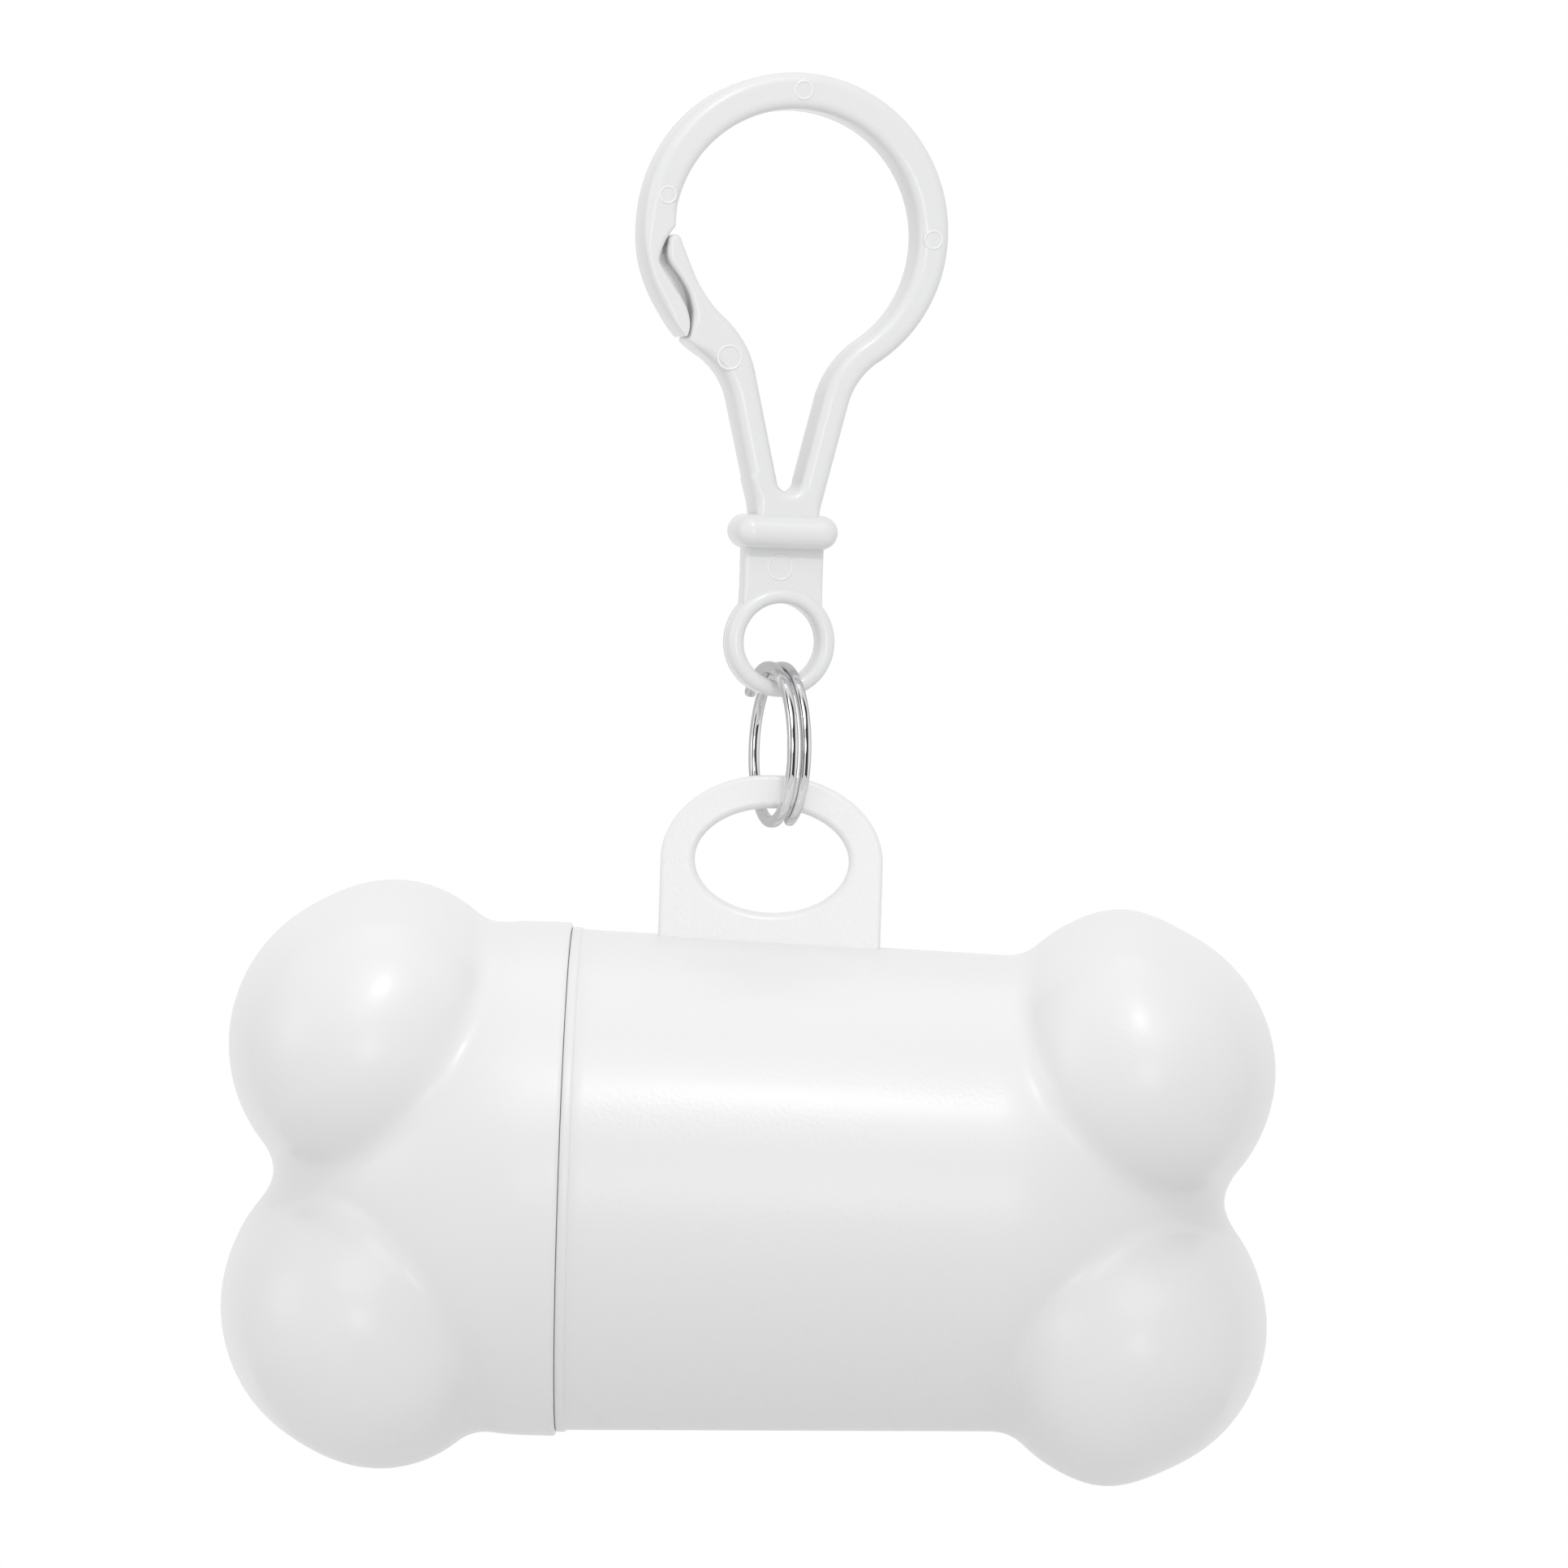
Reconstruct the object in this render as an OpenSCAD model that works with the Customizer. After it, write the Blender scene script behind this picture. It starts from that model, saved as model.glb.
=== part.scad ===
// Bone-shaped waste-bag dispenser: a hollow bone that holds a roll of bags,
// hung by a split ring from a one-piece spring hook.
// The origin is the hook's seat, the inside top of its loop, where a strap hangs it.
// +X runs along the bone from the cap to the closed end, -Y is the front, +Z is up.

/* [Bone] */
// Radius of the barrel where it meets the cap
barrel_r = 20.5; // [18:0.1:24]
// Radius of the barrel where the closed end's dome starts
barrel_end_r = 19.5; // [17.5:0.1:22]
// Length of the barrel from the cap's seam to the closed end's dome
barrel_len = 34.5; // [28:0.5:60]
// How far the lip at the seam stands out of the barrel
lip_step = 0.15; // [0.1:0.05:0.4]
// Length of that lip
lip_len = 0.8; // [0.5:0.1:2]
// Wall of the holder and the cap
wall = 1.5; // [1.2:0.1:2.2]
// Radius of each lobe of the bone
lobe_r = 11.3; // [9:0.1:13]
// Half depth of each lobe from front to back
lobe_depth = 20.3; // [17:0.1:23]
// Radius of the lobe's rounded ends, front and back
lobe_end_r = 9.5; // [8:0.1:10.5]
// Height of the holder's lobe centres above and below the barrel's axis
lobe_rise = 12.4; // [11:0.1:15]
// Distance from the dome's centre to the holder's lobe centres
lobe_reach = 11.9; // [9:0.1:15]
// Clearance between the front shell and the tab
seam_gap = 0.1; // [0.05:0.01:0.2]

/* [Cap] */
// Radius of the cap's skirt
cap_r = 21; // [19:0.1:25]
// Length of the skirt's straight part
cap_straight = 2.8; // [2:0.1:8]
// Height of the cap's lobe centres above and below the axis
cap_lobe_rise = 12.7; // [11:0.1:15]
// Distance from the cap's dome centre to its lobe centres
cap_lobe_reach = 13.6; // [10:0.1:17]
// How deep the holder's neck sits in the cap
neck_len = 6.3; // [4:0.1:6.5]
// Running clearance round the neck
neck_gap = 0.2; // [0.1:0.05:0.3]
// Wall of the neck
neck_wall = 1.5; // [1:0.1:1.8]
// Height of the ridge round the neck that holds the cap
neck_ridge = 0.1; // [0.05:0.01:0.15]

/* [Tab] */
// Distance from the seam to the tab's middle
tab_x = 16.1; // [12:0.1:24]
// Width of the tab
tab_w = 18.15; // [15:0.1:22]
// Thickness of the tab
tab_t = 3; // [2:0.1:4]
// Height of the middle of the tab's eye above the barrel's axis
tab_eye_z = 26.6; // [25.5:0.1:30]
// Half width of the eye
tab_eye_a = 6.3; // [4:0.1:7.5]
// Half height of the eye
tab_eye_b = 4.3; // [3:0.1:5]
// Width of the bar over the eye
tab_bar = 2.7; // [2:0.1:4]
// Chamfer round the eye, which lets the ring turn in it
tab_chamfer = 0.8; // [0.6:0.1:1]

/* [Bag outlet] */
// Length of the slot in the back of the barrel
slot_len = 26; // [20:1:30]
// Width of the slot
slot_w = 3.2; // [2:0.1:4]
// Diameter of the wider hole in the slot's middle
slot_eye = 12; // [8:0.5:14]

/* [Bag roll] */
// Length of the roll of bags
roll_len = 54; // [40:1:55]
// Radius of a full roll
roll_r = 13; // [11:0.1:13.2]
// Gap under the roll, where it lies in the neck
roll_gap = 0.97; // [0.8:0.01:0.99]
// Distance from the seam to the roll's end in the cap
roll_start = 10.6; // [9.5:0.1:11]
// Outer radius of the paper core
core_r = 6.5; // [5:0.1:8]
// Wall of the core
core_wall = 0.9; // [0.6:0.1:1.5]
// Gap between the core and the first turn of film
core_gap = 0.05; // [0.02:0.01:0.1]

/* [Split ring] */
// Outside diameter of the ring
ring_d = 13.6; // [12.8:0.1:16]
// Thickness of the wire across the ring's radius
wire_r_size = 0.95; // [0.8:0.05:1.1]
// Thickness of the wire along the ring's axis
wire_a_size = 0.85; // [0.7:0.05:1]
// Distance between the two turns, middle to middle
ring_pitch = 1.1; // [1.05:0.05:1.4]
// How many degrees the wire winds through
ring_wind = 590; // [540:10:700]
// Where the winding starts, from the ring's front, rising
ring_start = 165; // [0:5:355]
// Turn of the ring about the vertical, from square to the bone
ring_yaw = 17; // [0:1:25]
// Gap between the wire and the tab's eye at rest
tab_gap = 0.65; // [0.6:0.05:0.9]
// Gap between the wire and the hook's eye at rest
eye_gap = 0.6; // [0.5:0.05:0.9]

/* [Hook] */
// Thickness of the hook's plate
hook_t = 4.2; // [3.5:0.1:5]
// Turn of the hook about the vertical
hook_yaw = 14; // [0:1:25]
// Outer radius of the hook's loop
loop_r = 12.8; // [12:0.1:14]
// Inner radius of the loop
loop_in_r = 10.2; // [9.8:0.1:10.6]
// Bar of the loop at its top, which is thicker than at its sides
loop_bar = 3; // [2.8:0.1:3.4]
// Distance from the loop's middle down to the root of the two legs
leg_root = 20.6; // [19:0.1:24]
// Half width across the legs at their root
leg_half = 3.25; // [3:0.05:3.8]
// Slope of the legs, in degrees from the vertical
leg_lean = 13.6; // [12:0.1:15]
// Radius of the bend from a leg into the loop, outside
leg_bend = 6; // [4:0.1:8]
// Widest wall of the nose that covers the tip of the gate
nose_wall = 1.7; // [1.5:0.1:1.9]
// How far inside the loop's outer line the gate's inner edge runs
gate_in = 3.45; // [3.3:0.05:3.8]
// Angle below the level at which the nose ends
nose_end = 45.2; // [42:0.2:48]
// Radius of the gate's tip
tip_r = 0.55; // [0.4:0.05:0.6]
// How far inside the loop's outer line the tip's middle sits
tip_in = 2.52; // [2.4:0.02:2.7]
// Gap round the root of the gate
root_gap = 0.12; // [0.1:0.01:0.2]
// Width of the collar under the legs
collar_w = 8.8; // [8:0.1:11]
// Height of the collar
collar_h = 2.8; // [2:0.1:4]
// Depth of the collar from front to back
collar_d = 5.6; // [5:0.1:7]
// Distance from the loop's middle down to the collar's top
collar_drop = 23.2; // [23:0.1:27]
// Width of the stem
stem_w = 6.6; // [5:0.1:8]
// Distance from the loop's middle down to the eye's middle
eye_drop = 33.6; // [31:0.1:38]
// Outer radius of the hook's eye
eye_r = 4.5; // [4.3:0.1:5.5]
// Bar round the eye's hole
eye_bar = 1.35; // [1.1:0.05:1.6]
// Thickness of the eye from front to back
eye_t = 2.8; // [2.4:0.1:3.4]

/* [Hidden] */
$fn = 96;
over = 60;               // reach of the blocks that cut a form in two
cut = 1;                 // how far a cutting form runs past what it cuts
seam_turn = 45;          // turn that keeps a round form's seam off the mid-plane
arc_step = 6;            // degrees between the points of an arc
ring_sides = 8;          // sides of the split ring's wire
ring_steps = 56;         // rings of points along the split ring's wire

// Heights along the hanging chain, from the seat down
loop_z = loop_bar - loop_r;
in_z = loop_r - loop_bar - loop_in_r;
eye_z = loop_z - eye_drop;
eye_hole_r = eye_r - eye_bar;
ring_r = ring_d / 2;
ring_in_r = ring_r - wire_r_size;
ring_mid_r = ring_r - wire_r_size / 2;
ring_z = eye_z - eye_hole_r + eye_gap - ring_in_r;
// The wire's top lies tab_gap below the underside of the tab's bar
bar_z = tab_eye_z + tab_eye_b;
axis_z = ring_z - ring_in_r + tab_gap - bar_z;

// Radii inside the bone
neck_r = cap_r - wall - neck_gap;
neck_in_r = neck_r - neck_wall;
// The neck's foot reaches out into the barrel's wall
foot_r = barrel_r - wall / 2;
foot_t = wall * 0.8;
// The roll lies on the narrower of the neck and the barrel's far end
roll_bed_r = min(neck_in_r, barrel_end_r - wall);
roll_drop = roll_bed_r - roll_r - roll_gap;
lobe_x = barrel_len + lobe_reach;
cap_lobe_x = -cap_straight - cap_lobe_reach;

// Corner points of an arc round c, in degrees
function arc(c, r, from, to) =
    let (n = max(1, ceil(abs(to - from) / arc_step)))
    [for (i = [0:n]) let (a = from + (to - from) * i / n) c + r * [cos(a), sin(a)]];

// Centre of a bend of radius f that leaves a leg's outer line and meets a circle
// of radius r round c; the leg's line starts at p and leans to +X
leg_dir = [sin(leg_lean), cos(leg_lean)];
leg_nrm = [cos(leg_lean), -sin(leg_lean)];
function bend_centre(p, f, r, c) =
    let (q = p + f * leg_nrm - c, b = q * leg_dir, d = q * q - (r + f) * (r + f))
    c + q + (-b - sqrt(b * b - d)) * leg_dir;
function heading(v) = atan2(v[1], v[0]);
function mirrored(points) = [for (p = points) [-p[0], p[1]]];

// One coordinate of a smooth line through b and c, led by a before and d after
function glide(a, b, c, d, t) = b + t / 2 * (c - a + t * (2 * a - 5 * b + 4 * c - d
    + t * (3 * b - a - 3 * c + d)));
// Points of a smooth line through the edge's marks, about the loop's middle
function edge_line(marks) = let (last = len(marks) - 1)
    [for (i = [0:last - 1], k = [0:edge_steps - 1])
        let (a = marks[max(i - 1, 0)], d = marks[min(i + 2, last)],
            m = glide(a, marks[i], marks[i + 1], d, k / edge_steps),
            turn = 180 + nose_end * m[0])
        (loop_r - nose_wall * m[1]) * [cos(turn), sin(turn)]];

// Points on the hook, seen from the front with the loop's middle at zero
leg_out = [leg_half, -leg_root];
bend_c = bend_centre(leg_out, leg_bend, loop_r, [0, 0]);
in_c = [0, in_z];
in_bend = norm(bend_c - in_c) - loop_in_r;
leg_w = in_bend - leg_bend;
line_a = 180 - leg_lean;
root_c = [leg_half, -leg_root] - leg_nrm * leg_w / 2;
tail_in = loop_r - gate_in;
tail_bend = 8;
tail_c = bend_centre(leg_out - leg_nrm * leg_w, tail_bend, tail_in, [0, 0]);
// Inner edge of the nose and outer edge of the gate that follows it: part of the way
// down to the nose's end, and distance from the loop's outer line over the nose's wall
nose_edge = [[0.08, 1.29], [0.19, 0.93], [0.27, 0.7], [0.33, 0.58], [0.41, 0.68], [0.5, 0.82],
             [0.6, 0.94], [0.7, 0.99], [0.8, 0.94], [0.88, 0.77], [0.94, 0.54], [0.98, 0.26], [1, 0]];
gate_edge = [[1.035, 0], [1.01, 0.22], [0.97, 0.52], [0.9, 0.92], [0.84, 1.13], [0.76, 1.29],
             [0.69, 1.36], [0.61, 1.36], [0.53, 1.3], [0.45, 1.19], [0.37, 1.04], [0.3, 1],
             [0.23, 1.06], [0.18, 1.15]];
edge_steps = 3;
tip_a = 7.5;
notch_step = 1.5;

// Half of a body on the front or the back of the mid-plane
module half(front) {
    intersection() {
        children();
        translate([-over, front ? -over : 0, -over]) cube([over * 3, over, over * 2]);
    }
}

// Half of an oval with its waist at zero, made of one arc of the side and two of the ends
module lobe_profile(inset) {
    end = lobe_depth - lobe_end_r;
    side_r = (pow(lobe_r, 2) + pow(end, 2) - pow(lobe_end_r, 2)) / (lobe_r - lobe_end_r) / 2;
    join = end * (side_r - inset) / (side_r - lobe_end_r);
    intersection() {
        translate([lobe_r - side_r, 0]) circle(r = side_r - inset, $fn = 360);
        translate([0, -join]) square([lobe_r, join * 2]);
    }
    for (side = [-1, 1]) intersection() {
        translate([0, side * end]) circle(r = lobe_end_r - inset);
        translate([0, side > 0 ? join : -over - join]) square(over);
    }
}

module lobe(x, z, inset) {
    translate([x, 0, z]) rotate([90, 0, 0]) rotate_extrude() lobe_profile(inset);
}

// Turns a profile of radius and length about the barrel's axis
module spun() {
    rotate([seam_turn, 0, 0]) rotate([0, 90, 0]) rotate_extrude() children();
}

module along_x(x, r1, r2, len) {
    spun() polygon([[0, x], [r1, x], [r2, x + len], [0, x + len]]);
}

// A straight or tapered barrel that ends in a ball, towards +X or -X
module domed(from_r, to_r, len, inset, side, past) {
    spun() {
        polygon([[0, -side * past], [from_r - inset, -side * past], [from_r - inset, 0],
                 [to_r - inset, side * len], [0, side * len]]);
        intersection() {
            translate([0, side * len]) circle(r = to_r - inset);
            translate([0, side > 0 ? len : -over - len]) square(over);
        }
    }
}

// Outer form of the holder, or its hollow when inset by the wall
module holder_form(inset, past = 0) {
    domed(barrel_r, barrel_end_r, barrel_len, inset, 1, past);
    for (side = [-1, 1]) lobe(lobe_x, side * lobe_rise, inset);
}

module cap_form(inset, past = 0) {
    domed(cap_r, cap_r, cap_straight, inset, -1, past);
    for (side = [-1, 1]) lobe(cap_lobe_x, side * cap_lobe_rise, inset);
}

module neck() {
    difference() {
        union() {
            along_x(-neck_len, neck_r, neck_r, neck_len + wall);
            along_x(0, foot_r, foot_r, foot_t);
            spun() translate([neck_r - neck_ridge * 2, -neck_len / 2])
                circle(r = neck_ridge * 3, $fn = 24);
        }
        along_x(-neck_len - cut, neck_in_r, neck_in_r, neck_len + wall + cut * 2);
    }
}

module holder_wall() {
    difference() {
        union() {
            holder_form(0);
            along_x(0, barrel_r + lip_step, barrel_r + lip_step, lip_len);
        }
        holder_form(wall, cut);
    }
    neck();
}

module tab_outline(grow) {
    half_w = tab_w / 2 + grow;
    top = [for (a = [0:arc_step:180])
        [tab_x + half_w * cos(a), tab_eye_z + (tab_eye_b + tab_bar + grow) * sin(a)]];
    foot = sqrt(pow(barrel_r - wall, 2) - pow(tab_t, 2));
    polygon(concat(top, [[tab_x - half_w, foot], [tab_x + half_w, foot]]));
}

module tab() {
    eye = [for (a = [0:arc_step:359]) [tab_eye_a * cos(a), tab_eye_b * sin(a)]];
    flare = [1 + tab_chamfer / tab_eye_a, 1 + tab_chamfer / tab_eye_b];
    rotate([90, 0, 0]) difference() {
        linear_extrude(tab_t, center = true) tab_outline(0);
        translate([tab_x, tab_eye_z, 0]) {
            linear_extrude(tab_t + cut, center = true) polygon(eye);
            for (side = [0, 1]) mirror([0, 0, side]) translate([0, 0, tab_t / 2 - tab_chamfer])
                linear_extrude(tab_chamfer * 2, scale = flare * 2 - [1, 1], slices = 1, $fn = 16)
                    polygon(eye);
        }
    }
}

module tab_notch() {
    rotate([90, 0, 0]) linear_extrude(tab_t + seam_gap * 2, center = true) tab_outline(seam_gap);
}

module slot() {
    rotate([-90, 0, 0]) {
        for (side = [-1, 1])
            translate([tab_x + side * (slot_len - slot_w) / 2, 0, 0]) cylinder(d = slot_w, h = over);
        translate([tab_x - (slot_len - slot_w) / 2, -slot_w / 2, 0]) cube([slot_len - slot_w, slot_w, over]);
        translate([tab_x, 0, 0]) cylinder(d = slot_eye, h = over);
    }
}

// Puts a piece drawn from the seam's middle into its place under the ring
module on_bone() {
    translate([-tab_x, 0, axis_z]) children();
}

module hook_place() {
    rotate([0, 0, hook_yaw]) translate([0, 0, loop_z]) children();
}

module plate() {
    rotate([90, 0, 0]) linear_extrude(hook_t, center = true) children();
}

// The hook's outline: up the right leg, round the loop to the nose, back inside the
// loop and down the leg, then the root of the legs with the cup that holds the gate
module frame_outline() {
    low = collar_drop + collar_h / 2;
    narrow = leg_half - (low - leg_root) * tan(leg_lean);
    valley_r = root_c[0] - leg_w / 2;
    cup_r = leg_w / 2 + root_gap;
    nose_line = edge_line(nose_edge);
    count = len(nose_line);
    polygon(concat(
        [[narrow, -low]],
        arc(bend_c, leg_bend, line_a, heading(-bend_c)),
        arc([0, 0], loop_r, heading(bend_c), 180 + nose_end),
        [for (i = [1:count]) nose_line[count - i]],
        arc(in_c, loop_in_r, 180 - notch_step, heading(bend_c - in_c)),
        arc(bend_c, in_bend, heading(in_c - bend_c), line_a),
        arc([0, root_c[1]], valley_r, 0, -90),
        arc([-root_c[0], root_c[1]], cup_r, -30, leg_lean + acos(leg_w / 2 / cup_r) - 180),
        [[-narrow, -low]]));
}

// The gate arm, with its legs' lines drawn on the right and mirrored into their place
module gate_outline() {
    shoulder = -nose_end * gate_edge[0][0];
    tip_c = (loop_r - tip_in) * [-cos(tip_a), -sin(tip_a)];
    polygon(concat(
        mirrored(concat(
            arc(bend_c, leg_bend, line_a, heading(-bend_c)),
            arc([0, 0], loop_r, heading(bend_c), shoulder - 1))),
        edge_line(gate_edge),
        arc(tip_c, tip_r, 180 + tip_a, tip_a),
        mirrored(concat(
            arc([0, 0], tail_in, -tip_a * 3, heading(tail_c)),
            arc(tail_c, tail_bend, heading(-tail_c), line_a))),
        arc([-root_c[0], root_c[1]], leg_w / 2, leg_lean, leg_lean - 180)));
}

module collar() {
    side_r = collar_h / 2;
    translate([0, 0, -collar_drop - side_r]) {
        cube([collar_w - collar_h, collar_d, collar_h], center = true);
        for (side = [-1, 1]) translate([side * (collar_w / 2 - side_r), 0, 0])
            rotate([90, 0, 0]) cylinder(r = side_r, h = collar_d, center = true);
    }
}

module eye() {
    edge = eye_bar / 2;
    rotate([90, 0, 0]) rotate_extrude() {
        for (side = [-1, 1]) translate([eye_r - edge, side * (eye_t / 2 - edge)])
            circle(r = edge, $fn = 32);
        translate([eye_hole_r, -eye_t / 2 + edge]) square([eye_bar, eye_t - eye_bar]);
    }
}

module hook_frame() {
    color("whitesmoke") hook_place() {
        plate() frame_outline();
        collar();
        difference() {
            top = -collar_drop - collar_h / 2;
            translate([-stem_w / 2, -hook_t / 2, -eye_drop]) cube([stem_w, hook_t, eye_drop + top]);
            translate([0, 0, -eye_drop]) rotate([90, 0, 0])
                cylinder(r = eye_r - eye_bar / 2, h = over, center = true);
        }
        translate([0, 0, -eye_drop]) eye();
    }
}

module gate_arm() {
    color("white") hook_place() plate() gate_outline();
}

// One ring of points across the wire, at a turn of a degrees and s along the axis
function wire_ring(a, s) =
    [for (k = [0:ring_sides - 1]) let (w = 360 * (k + 0.5) / ring_sides,
        r = ring_mid_r + wire_r_size / 2 * cos(w) / cos(180 / ring_sides))
        [s + wire_a_size / 2 * sin(w) / cos(180 / ring_sides), -r * cos(a), r * sin(a)]];

module split_ring() {
    shift = ring_pitch * ring_wind / 360;
    points = [for (i = [0:ring_steps]) let (t = i / ring_steps)
        each wire_ring(ring_start + ring_wind * t, shift * (0.5 - t))];
    sides = [for (i = [0:ring_steps - 1], k = [0:ring_sides - 1]) let (n = (k + 1) % ring_sides)
        [i * ring_sides + k, i * ring_sides + n, (i + 1) * ring_sides + n, (i + 1) * ring_sides + k]];
    first = [for (k = [ring_sides - 1:-1:0]) k];
    last = [for (k = [0:ring_sides - 1]) ring_steps * ring_sides + k];
    color("silver") translate([0, 0, ring_z]) rotate([0, 0, ring_yaw])
        polyhedron(points, concat(sides, [first, last]));
}

module holder_front_shell() {
    color("ghostwhite") on_bone() difference() {
        half(true) holder_wall();
        tab_notch();
    }
}

module holder_back_shell() {
    color("ghostwhite") on_bone() {
        difference() {
            half(false) holder_wall();
            slot();
        }
        tab();
    }
}

module cap_wall() {
    difference() {
        cap_form(0);
        cap_form(wall, cut);
        along_x(-neck_len - neck_gap * 2, cap_r - wall, cap_r - wall, over);
    }
}

module cap_front_shell() {
    color("white") on_bone() half(true) cap_wall();
}

module cap_back_shell() {
    color("white") on_bone() half(false) cap_wall();
}

module bag_roll() {
    color("dimgray") on_bone() translate([0, 0, -roll_drop]) difference() {
        along_x(-roll_start, roll_r, roll_r, roll_len);
        along_x(-roll_start - cut, core_r + core_gap, core_r + core_gap, roll_len + cut * 2);
    }
}

module roll_core() {
    color("burlywood") on_bone() translate([0, 0, -roll_drop]) difference() {
        along_x(-roll_start, core_r, core_r, roll_len);
        along_x(-roll_start - cut, core_r - core_wall, core_r - core_wall, roll_len + cut * 2);
    }
}

hook_frame();
gate_arm();
split_ring();
holder_front_shell();
holder_back_shell();
cap_front_shell();
cap_back_shell();
bag_roll();
roll_core();
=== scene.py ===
"""Bone-shaped waste-bag dispenser, hung by a split ring from a spring hook.

Every piece is a grid of points worked out with numpy in millimetres, laid into the
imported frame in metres. Bone shapes are drawn from the seam between cap and barrel,
hook shapes from the middle of the hook's loop.
"""

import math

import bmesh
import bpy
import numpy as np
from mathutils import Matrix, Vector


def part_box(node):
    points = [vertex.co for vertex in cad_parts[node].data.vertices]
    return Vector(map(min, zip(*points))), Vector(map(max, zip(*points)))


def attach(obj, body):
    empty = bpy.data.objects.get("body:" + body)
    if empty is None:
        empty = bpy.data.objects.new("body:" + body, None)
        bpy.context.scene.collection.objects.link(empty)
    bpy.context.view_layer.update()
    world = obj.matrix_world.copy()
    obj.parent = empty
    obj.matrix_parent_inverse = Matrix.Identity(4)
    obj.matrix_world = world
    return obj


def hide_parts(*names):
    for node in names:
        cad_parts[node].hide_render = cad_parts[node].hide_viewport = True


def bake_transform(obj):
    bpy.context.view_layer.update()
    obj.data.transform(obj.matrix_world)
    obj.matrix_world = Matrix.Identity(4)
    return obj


bl_info = {
    "name": "Bone-shaped bag dispenser",
    "version": (1, 0, 0),
    "blender": (4, 5, 0),
    "location": "View3D > Sidebar > Dispenser",
    "description": "Builds a bone-shaped bag holder with its cap, bag roll, split ring and hook",
    "category": "Object",
}

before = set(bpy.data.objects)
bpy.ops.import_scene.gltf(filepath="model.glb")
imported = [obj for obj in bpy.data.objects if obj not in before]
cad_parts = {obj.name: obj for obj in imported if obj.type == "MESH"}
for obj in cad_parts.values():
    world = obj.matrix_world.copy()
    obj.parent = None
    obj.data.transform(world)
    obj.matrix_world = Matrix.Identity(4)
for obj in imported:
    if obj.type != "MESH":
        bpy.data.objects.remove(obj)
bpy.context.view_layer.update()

MM = 0.001
TURN = 2 * math.pi
# Distances in metres under which neighbouring points of a mesh are merged
WELD, FINE_WELD = 2e-6, 1e-7


def node_box_mm(node):
    """Lowest and highest corners of a CAD node, in millimetres."""
    low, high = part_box(node)
    return np.array(low) / MM, np.array(high) / MM


CAP_LOW, CAP_HIGH = node_box_mm("cap_front_shell")
SEAM = np.array([CAP_HIGH[0], 0.0, (CAP_LOW[2] + CAP_HIGH[2]) / 2])
RING_LOW, RING_HIGH = node_box_mm("split_ring")
RING_MID = (RING_LOW + RING_HIGH) / 2
ROLL_LOW, ROLL_HIGH = node_box_mm("bag_roll")
HOOK_HIGH = node_box_mm("hook_frame")[1]


def mm(name, text, value, high=200.0):
    return bpy.props.FloatProperty(name=name, description=text, default=value, min=0.0, max=high)


def tint(name, text, value):
    return bpy.props.FloatVectorProperty(
        name=name, description=text, default=value, min=0, max=1, size=3, subtype="COLOR")


class BoneSizes(bpy.types.PropertyGroup):
    barrel_r: mm("Barrel radius", "Radius of the barrel at the seam, mm", 20.5)
    barrel_end_r: mm("End radius", "Radius of the barrel at its dome, mm", 19.5)
    barrel_len: mm("Barrel length", "From the seam to the dome, mm", 34.5)
    cap_r: mm("Cap radius", "Radius of the cap's skirt, mm", 21.0)
    cap_straight: mm("Cap skirt", "Straight part of the cap's skirt, mm", 2.8)
    wall: mm("Wall", "Wall of holder and cap, mm", 1.5)
    lobe_r: mm("Lobe radius", "Radius of a lobe seen from the front, mm", 11.3)
    lobe_depth: mm("Lobe depth", "Half depth of a lobe, mm", 20.3)
    lobe_end_r: mm("Lobe ends", "Radius of a lobe's rounded ends, mm", 9.5)
    lobe_rise: mm("Lobe rise", "Height of the lobes over the axis, mm", 10.9)
    lobe_reach: mm("Lobe reach", "From the dome's middle to the lobes, mm", 11.9)
    cap_lobe_reach: mm("Cap lobe reach", "From the cap dome's middle to its lobes, mm", 13.6)
    crease: mm("Crease fillet", "Width of the soft fillet where a lobe meets the barrel, mm", 1.4)
    lip_step: mm("Lip height", "How far the seam's lip stands out, mm", 0.15)
    lip_len: mm("Lip length", "Length of the seam's lip, mm", 0.8)
    neck_len: mm("Neck length", "Depth of the neck in the cap, mm", 6.3)
    neck_r: mm("Neck radius", "Outer radius of the neck, mm", 19.3)
    neck_wall: mm("Neck wall", "Wall of the neck, mm", 1.5)
    joint_groove: mm("Joint line", "Depth of the fine line between the two shells, mm", 0.06)
    tab_x: mm("Tab place", "From the seam to the tab's middle, mm", 16.1)
    tab_w: mm("Tab width", "Width of the tab, mm", 18.15)
    tab_chamfer: mm("Tab chamfer", "Chamfer round the tab's eye, mm", 0.5)
    tab_t: mm("Tab thickness", "Thickness of the tab, mm", 3.0)
    tab_eye_z: mm("Tab eye height", "Height of the eye's middle over the axis, mm", 26.6)
    tab_eye_a: mm("Tab eye half width", "Half width of the oval eye, mm", 6.3)
    tab_eye_b: mm("Tab eye half height", "Half height of the oval eye, mm", 4.3)
    tab_bar: mm("Tab bar", "Width of the bar over the eye, mm", 2.7)
    slot_len: mm("Slot length", "Length of the bag slot in the back, mm", 26.0)
    slot_w: mm("Slot width", "Width of the bag slot, mm", 3.2)
    slot_eye: mm("Slot hole", "Diameter of the wider hole in the slot, mm", 12.0)


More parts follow.
